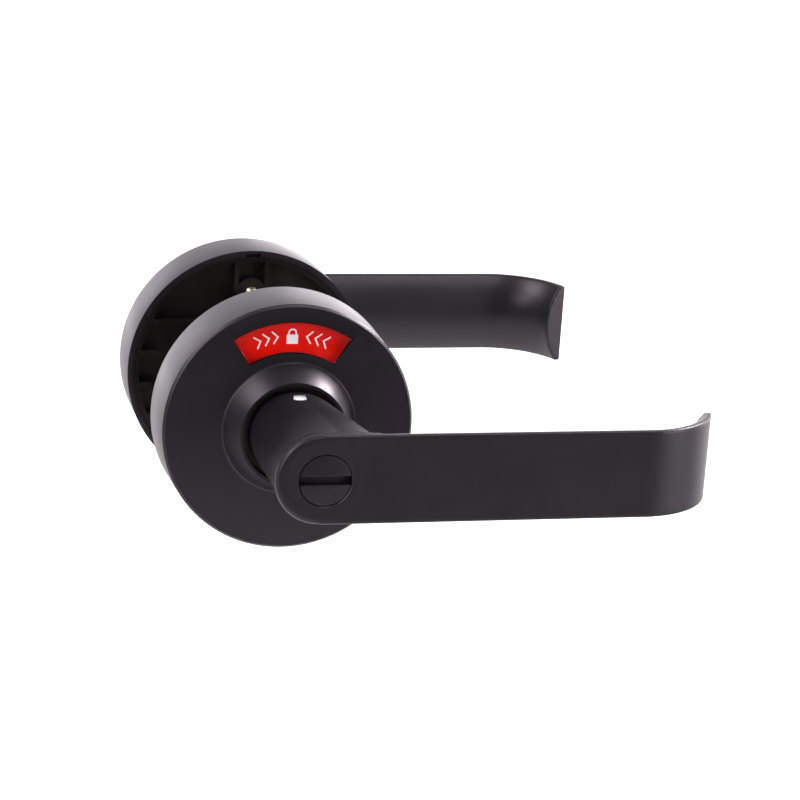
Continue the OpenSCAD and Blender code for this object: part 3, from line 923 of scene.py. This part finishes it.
@dataclass
class Lever:
    """A cast lever: round hub end, flat face, round back, leaning neck and a tip that turns back.

    Sizes are in millimetres and angles in degrees, heights are measured out from the door.
    """

    stand: float = 70.5
    height: float = 27.7
    thick: float = 7.25
    edge: float = 2.0
    hub_back: float = 15.0
    reach: float = 126.0
    return_r: float = 27.0
    return_angle: float = 71.0
    neck_r: float = 13.8
    neck_back: float = 15.2
    lean_back: float = 27.5
    lean_start: float = 1.0
    lean_end: float = 8.0
    flare_r: float = 2.5
    front_round: float = 1.5
    back_round: float = 0.4
    flare_top: float = 67.0
    bore_r: float = 11.05
    pocket_r: float = 7.5
    pocket_back: float = 42.5
    pocket_front: float = 47.0
    stem_r: float = 4.08
    head_back: float = 63.0
    seat_r: float = 8.1
    seat_edge: float = 0.25
    catch_z: float = 32.5
    catch_hole_r: float = 2.4
    inset: float = 0.1
    side_inset: float = 0.2
    over: float = 1.0
    voxel: float = 0.45
    soft_factor: float = 0.5
    soft_steps: int = 6
    sharp: float = 40.0
    back_sides: int = 720
    round_steps: int = 6
    bend_steps: int = 72
    flare_steps: int = 16
    flare_sides: int = 180
    bore_sides: int = 128
    hole_sides: int = 48

    def build(self, shop: Workshop) -> None:
        """Models the lever once and places it on both sides of the door.

        Args:
            shop: shared workshop.
        """
        outside = self._casting()
        inside = copy_piece(outside, "inside_handle_lever")
        for lever, side, body in ((outside, Side.OUTSIDE, Body.OUTSIDE_HANDLE),
                                  (inside, Side.INSIDE, Body.INSIDE_HANDLE)):
            shop.keep(lever, side, body, BLACK_COAT, f"{side.value}_lever")

    def _casting(self) -> Piece:
        """Blends paddle, hub and neck into one casting and bores it.

        Returns:
            The lever, in the trim's own frame.
        """
        parts = [self._paddle(), self._hub(), self._neck(), self._lean(), self._flare()]
        lever = join_pieces("outside_handle_lever", parts)
        apply_modifier(lever, "REMESH", mode="VOXEL", voxel_size=self.voxel * MM, use_smooth_shade=True)
        apply_modifier(lever, "SMOOTH", factor=self.soft_factor, iterations=self.soft_steps)
        bore = turn_profile("bore", self._bore_profile(), self.bore_sides)
        combine(lever, bore, Joining.CUT)
        hole = add_rod("catch_hole", self.catch_hole_r, (0, self.bore_r - self.over, self.catch_z),
                       (0, self.neck_r + 2 * self.over, self.catch_z), self.hole_sides)
        combine(lever, hole, Joining.CUT)
        shade_by_angle(lever, self.sharp)
        return lever

    def _paddle(self) -> Piece:
        """Models the flat part: a sliced circle, extruded along the lever and spun round the tip.

        Returns:
            The paddle.
        """
        half = self.height / 2
        straight_end = self.reach - self.return_r * math.sin(math.radians(self.return_angle))
        drop = self.thick - self.edge
        back_r = (half**2 + drop**2) / (2 * drop)
        start_x = half - self.hub_back
        bpy.ops.mesh.primitive_circle_add(
            vertices=self.back_sides, radius=back_r * MM, fill_type="NGON",
            rotation=(math.pi / 2, 0, math.pi / 2),
            location=(start_x * MM, 0, (self.stand - self.thick + back_r) * MM))
        paddle = start_piece("paddle")
        open_edit(paddle)
        for place, away in (((0, 0, self.stand), (0, 0, 1)), ((0, half, 0), (0, 1, 0)),
                            ((0, -half, 0), (0, -1, 0))):
            bpy.ops.mesh.select_all(action="SELECT")
            bpy.ops.mesh.bisect(plane_co=Vector(place) * MM, plane_no=away, clear_outer=True)
        close_edit()
        for level, offset in ((self.stand, self.front_round), (self.stand - self.edge, self.back_round)):
            pick_vertices(paddle, lambda at, z=level: abs(at.z - z * MM) < NEAR_M
                          and abs(abs(at.y) - half * MM) < NEAR_M)
            bpy.ops.mesh.bevel(offset=offset * MM, segments=self.round_steps, affect="VERTICES")
            close_edit()
        open_edit(paddle)
        bpy.ops.mesh.extrude_region_move(
            TRANSFORM_OT_translate={"value": ((straight_end - start_x) * MM, 0, 0)})
        bpy.ops.mesh.spin(steps=self.bend_steps, angle=-math.radians(self.return_angle),
                          center=(straight_end * MM, 0, (self.stand - self.return_r) * MM), axis=(0, 1, 0))
        close_edit()
        tidy_shell(paddle)
        return paddle

    def _hub(self) -> Piece:
        """Models the round end of the flat part.

        Returns:
            The hub, with a round edge.
        """
        middle = self.height / 2 - self.hub_back
        hub = add_rod("hub", self.height / 2, (middle, 0, self.stand - 2 * self.edge),
                      (middle, 0, self.stand))
        soften_edges(hub, self.front_round, self.round_steps)
        return hub

    def _neck(self) -> Piece:
        """Models the round neck that runs in the rose."""
        return add_rod("neck", self.neck_r, (0, 0, self.neck_back), (0, 0, self.stand - self.edge))

    def _lean(self) -> Piece:
        """Models the part of the neck that leans along the lever.

        Returns:
            The leaning rod, cut level at both ends.
        """
        top = self.stand - self.thick
        slope = (self.lean_end - self.lean_start) / (top - self.lean_back)
        reach = self.neck_r
        low = (self.lean_start - slope * reach, 0, self.lean_back - reach)
        high = (self.lean_end + slope * reach, 0, top + reach)
        lean = add_rod("lean", self.neck_r - self.inset, low, high)
        slice_off(lean, (0, 0, self.lean_back), (0, 0, -1))
        slice_off(lean, (0, 0, self.stand - self.edge), (0, 0, 1))
        return lean

    def _flare(self) -> Piece:
        """Models the hollow round between the neck and the flat part.

        Returns:
            The flare, kept within the lever's height.
        """
        low = self.flare_top - self.flare_r
        inner = self.neck_r - self.inset
        arc = [(inner + self.flare_r * (1 - math.cos(a)), low + self.flare_r * math.sin(a))
               for a in (math.pi / 2 * i / self.flare_steps for i in range(self.flare_steps + 1))]
        flare = turn_profile("flare", [*arc, (inner + self.flare_r, self.flare_top + self.over)],
                             self.flare_sides)
        flare.location.x = self.lean_end * MM
        settle(flare)
        for side in (-1, 1):
            slice_off(flare, (0, side * (self.height / 2 - self.side_inset), 0), (0, side, 0))
        return flare

    def _bore_profile(self) -> Profile:
        """Works out the stepped bore for the spindle, the turn's stem and its head.

        Returns:
            The profile of the bore, open at both ends.
        """
        mouth_r = self.seat_r + self.seat_edge
        return [(self.bore_r, self.neck_back - self.over), (self.bore_r, self.pocket_back),
                (self.pocket_r, self.pocket_back), (self.pocket_r, self.pocket_front),
                (self.stem_r, self.pocket_front), (self.stem_r, self.head_back),
                (self.seat_r, self.head_back), (self.seat_r, self.stand - self.seat_edge),
                (mouth_r, self.stand), (mouth_r, self.stand + self.over)]


@dataclass
class Turns:
    """The coin release in the outside lever and the thumb turn in the inside one.

    Sizes are in millimetres, heights are measured out from the door.
    """

    head_r: float = 7.8
    head_back: float = 63.2
    face: float = 70.3
    stem_r: float = 4.0
    stem_back: float = 44.0
    slot_w: float = 2.8
    slot_depth: float = 2.5
    tab_base: float = 71.1
    tab_h: float = 11.0
    tab_r: float = 10.0
    tab_t: float = 5.0
    tab_sink: float = 0.5
    over: float = 1.0
    coin_soft: float = 0.25
    knob_soft: float = 0.5
    sides: int = 128

    def build(self, shop: Workshop) -> None:
        """Models both turns.

        Args:
            shop: shared workshop.
        """
        coin = turn_profile("coin_release", self._profile(self.face), self.sides)
        slot = add_block("slot", (-2 * self.head_r, -self.slot_w / 2, self.face - self.slot_depth),
                         (2 * self.head_r, self.slot_w / 2, self.face + self.over))
        combine(coin, slot, Joining.CUT)
        soften_edges(coin, self.coin_soft)
        shop.keep(coin, Side.OUTSIDE, Body.LOCK, BLACK_COAT, "release_turn")
        head = turn_profile("thumb_turn_knob", self._profile(self.tab_base + self.tab_sink), self.sides)
        middle = self.tab_base + self.tab_h - self.tab_r
        tab = add_rod("tab", self.tab_r, (0, -self.tab_t / 2, middle), (0, self.tab_t / 2, middle),
                      self.sides)
        slice_off(tab, (0, 0, self.tab_base), (0, 0, -1))
        combine(head, tab, Joining.FUSE)
        soften_edges(head, self.knob_soft, segments=4)
        shop.keep(head, Side.INSIDE, Body.LOCK, BLACK_COAT, "thumb_turn")

    def _profile(self, face: float) -> Profile:
        """Works out a stem with a head.

        Args:
            face: height at which the head ends.

        Returns:
            The profile, from the stem's back to the face.
        """
        return [(self.stem_r, self.stem_back), (self.stem_r, self.head_back), (self.head_r, self.head_back),
                (self.head_r, face)]


@dataclass
class Catches:
    """The bright catches in the lever necks.

    Sizes are in millimetres; each catch is turned about z and then laid into its hole.
    """

    pin_r: float = 2.15
    lip_r: float = 3.1
    lip_low: float = 5.8
    lip_high: float = 6.7
    tip: float = 14.2
    land: float = 1.2
    out: float = 32.5
    soft: float = 0.2
    sides: int = 64

    def build(self, shop: Workshop) -> None:
        """Models the catch once and places it in both levers.

        Args:
            shop: shared workshop.
        """
        profile = [(self.lip_r, self.lip_low), (self.lip_r, self.lip_high), (self.pin_r, self.lip_high),
                   (self.pin_r, self.tip)]
        first = turn_profile("outside_catch_pin", profile, self.sides)
        slice_off(first, (0, self.land, self.tip), (0, -1, 1))
        soften_edges(first, self.soft)
        first.rotation_euler.x = -math.pi / 2
        first.location.z = self.out * MM
        settle(first)
        second = copy_piece(first, "inside_catch_pin")
        for catch, side, body in ((first, Side.OUTSIDE, Body.OUTSIDE_RELEASE),
                                  (second, Side.INSIDE, Body.INSIDE_RELEASE)):
            shop.keep(catch, side, body, BRIGHT_STEEL, f"{side.value}_catch")


class KeptSolids:
    """The solids that show as they are, or lie inside, each with its finish."""

    FINISHES: dict[Finish, tuple[str, ...]] = {
        BLACK_MOULDED: ("outside_mount", "inside_mount", "indicator_disc"),
        RED_PRINT: ("red_flag",),
        GREEN_PRINT: ("green_flag",),
        YELLOW_ZINC: ("through_bolts",),
        BRIGHT_STEEL: (
            *(f"{side.value}_{name}" for side in Side
              for name in ("spindle", "cam", "circlip", "return_spring", "catch_spring")),
            "release_clip", "turn_clip", "indicator_pin", "lock_shaft", "screw_posts"),
    }

    def build(self, shop: Workshop) -> None:
        """Dresses the kept solids.

        Args:
            shop: shared workshop.
        """
        for finish, nodes in self.FINISHES.items():
            for node in nodes:
                shop.shop.dress(shop.frame["nodes"][node], finish)
                LOG.info("%s: %s", node, finish.name)


# Studio


@dataclass(frozen=True)
class Softbox:
    """A square lamp that faces the set.

    Attributes:
        name: name of the lamp.
        spot: its place, in metres.
        size: length of its sides, in metres.
        watts: its power.
        spread: angle of its beam in degrees, narrow behind a grid.
    """

    name: str
    spot: Triple
    size: float
    watts: float
    spread: float = 180.0

    def light(self, target: Vector, tone: Triple) -> None:
        """Adds the lamp, out of the camera's sight.

        Args:
            target: the point that it faces.
            tone: colour of its light, linear.
        """
        turn = (target - Vector(self.spot)).to_track_quat("-Z", "Y").to_euler()
        bpy.ops.object.light_add(type="AREA", location=self.spot, rotation=turn)
        lamp = bpy.context.object
        lamp.name = self.name
        lamp.data.size = self.size
        lamp.data.energy = self.watts
        lamp.data.color = tone
        lamp.data.spread = math.radians(self.spread)
        lamp.visible_camera = False


# Beam of a softbox behind a grid, in degrees
GRID = 50.0
SOFTBOXES = (
    Softbox("left_softbox", (-1.5, -1.0, 0.5), 1.0, 14.0),
    Softbox("right_softbox", (1.6, -1.1, 0.1), 1.0, 22.0),
    Softbox("top_softbox", (0.35, -0.75, 1.5), 0.7, 0.6, GRID),
    Softbox("back_softbox", (0.1, 2.2, 0.6), 2.6, 27.0),
    Softbox("back_left_softbox", (-0.8, 1.9, 0.1), 1.0, 4.5),
    Softbox("back_right_softbox", (1.0, 1.9, 0.3), 1.1, 7.0),
    Softbox("far_right_softbox", (1.8, 0.7, 0.0), 1.0, 17.0),
    Softbox("high_right_softbox", (1.3, 0.25, 1.0), 0.5, 6.0, GRID),
    Softbox("high_left_softbox", (-1.15, -0.2, 1.15), 1.0, 2.4, GRID),
)


@dataclass
class Studio:
    """Camera, lamps, floor and world.

    Angles are in degrees and lengths in metres. The camera's values are those that were fitted to the
    roses and levers of the photograph.
    """

    azimuth: float = -15.60
    elevation: float = 16.92
    roll: float = 3.95
    distance: float = 0.9158
    focal_px: float = 2866.1
    target: Triple = (0.04050, 0.0, 0.00243)
    floor_drop: float = 0.30
    floor_size: float = 8.0
    floor_rough: float = 0.9
    floor_glow: float = 0.92
    floor_dark: float = 0.2
    floor_pale: float = 0.72
    dark_y: float = -1.35
    pale_y: float = -0.85
    sweep_start: float = 0.3
    sweep_end: float = 1.1
    world_fill: float = 0.25
    tone: Triple = (1.0, 0.94, 0.97)
    near_clip: float = 0.01

    def build(self) -> None:
        """Sets up everything round the object."""
        self._camera()
        self._world()
        self._floor()
        for softbox in SOFTBOXES:
            softbox.light(Vector(self.target), self.tone)
        bpy.context.scene.view_settings.view_transform = "Standard"

    def _camera(self) -> None:
        """Adds the camera at the photograph's place."""
        az, el, roll = (math.radians(v) for v in (self.azimuth, self.elevation, self.roll))
        back = Vector((math.sin(az) * math.cos(el), -math.cos(az) * math.cos(el), math.sin(el)))
        right = (-back).cross(Vector((0, 0, 1))).normalized()
        up = right.cross(-back)
        turned_right = right * math.cos(roll) + up * math.sin(roll)
        turned_up = up * math.cos(roll) - right * math.sin(roll)
        spot = Vector(self.target) + back * self.distance
        bpy.ops.object.camera_add()
        camera = bpy.context.object
        camera.name = "photo_camera"
        turn = Matrix((turned_right, turned_up, back)).transposed().to_4x4()
        camera.matrix_world = Matrix.Translation(spot) @ turn
        camera.data.sensor_width = SENSOR_MM
        camera.data.lens = self.focal_px * SENSOR_MM / PHOTO_SIDE
        camera.data.clip_start = self.near_clip
        bpy.context.scene.camera = camera

    def _world(self) -> None:
        """Makes a world that is white to the eye and dimmer as a lamp."""
        world = bpy.data.worlds.new("white_studio")
        bpy.context.scene.world = world
        world.use_nodes = True
        nodes, links = world.node_tree.nodes, world.node_tree.links
        background = nodes["Background"]
        path = nodes.new("ShaderNodeLightPath")
        strength = nodes.new("ShaderNodeMapRange")
        set_inputs(strength, {"To Min": self.world_fill, "To Max": 1.0})
        wire(links, (path, "Is Camera Ray", strength, "Value"),
             (strength, "Result", background, "Strength"))
        set_inputs(background, {"Color": (1.0, 1.0, 1.0, 1.0)})

    def _floor(self) -> None:
        """Adds a pale floor well below the set, which hangs in the air as it would on a door.

        The floor is white to the camera. In mirror images it is darker in front, and glows at the back.
        """
        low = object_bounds()[0][2]
        bpy.ops.mesh.primitive_plane_add(size=self.floor_size, location=(0, 0, low - self.floor_drop))
        floor = start_piece("studio_floor")
        material, nodes, links = start_material("pale_floor")
        shader = nodes["Principled BSDF"]
        path = nodes.new("ShaderNodeLightPath")
        place = nodes.new("ShaderNodeTexCoord")
        depth = nodes.new("ShaderNodeSeparateXYZ")
        sweep = nodes.new("ShaderNodeMapRange")
        set_inputs(sweep, {"From Min": self.sweep_start, "From Max": self.sweep_end, "To Max": 1.0})
        mirrored = nodes.new("ShaderNodeMath")
        mirrored.operation = "MULTIPLY"
        glow = nodes.new("ShaderNodeMath")
        glow.operation = "MULTIPLY_ADD"
        glow.inputs[1].default_value = self.floor_glow
        front = nodes.new("ShaderNodeMapRange")
        set_inputs(front, {"From Min": self.dark_y, "From Max": self.pale_y, "To Min": self.floor_dark,
                           "To Max": self.floor_pale})
        wire(links, (place, "Object", depth, "Vector"), (depth, "Y", sweep, "Value"),
             (sweep, "Result", mirrored, 0), (path, "Is Glossy Ray", mirrored, 1),
             (path, "Is Camera Ray", glow, 0), (mirrored, "Value", glow, 2),
             (glow, "Value", shader, "Emission Strength"), (depth, "Y", front, "Value"),
             (front, "Result", shader, "Base Color"))
        set_inputs(shader, {"Emission Color": (1.0, 1.0, 1.0, 1.0), "Roughness": self.floor_rough})
        floor.data.materials.append(material)
        floor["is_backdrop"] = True


def main() -> None:
    """Loads the solids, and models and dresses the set."""
    logging.basicConfig(level=logging.INFO, format="%(name)s %(message)s")
    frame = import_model()
    shop = Workshop(frame, FinishShop())
    Studio().build()
    rose = Rose()
    rose.build(shop, Side.OUTSIDE)
    rose.build(shop, Side.INSIDE)
    Window().build(shop)
    Lever().build(shop)
    Turns().build(shop)
    Catches().build(shop)
    KeptSolids().build(shop)


if __name__ == "__main__":
    main()
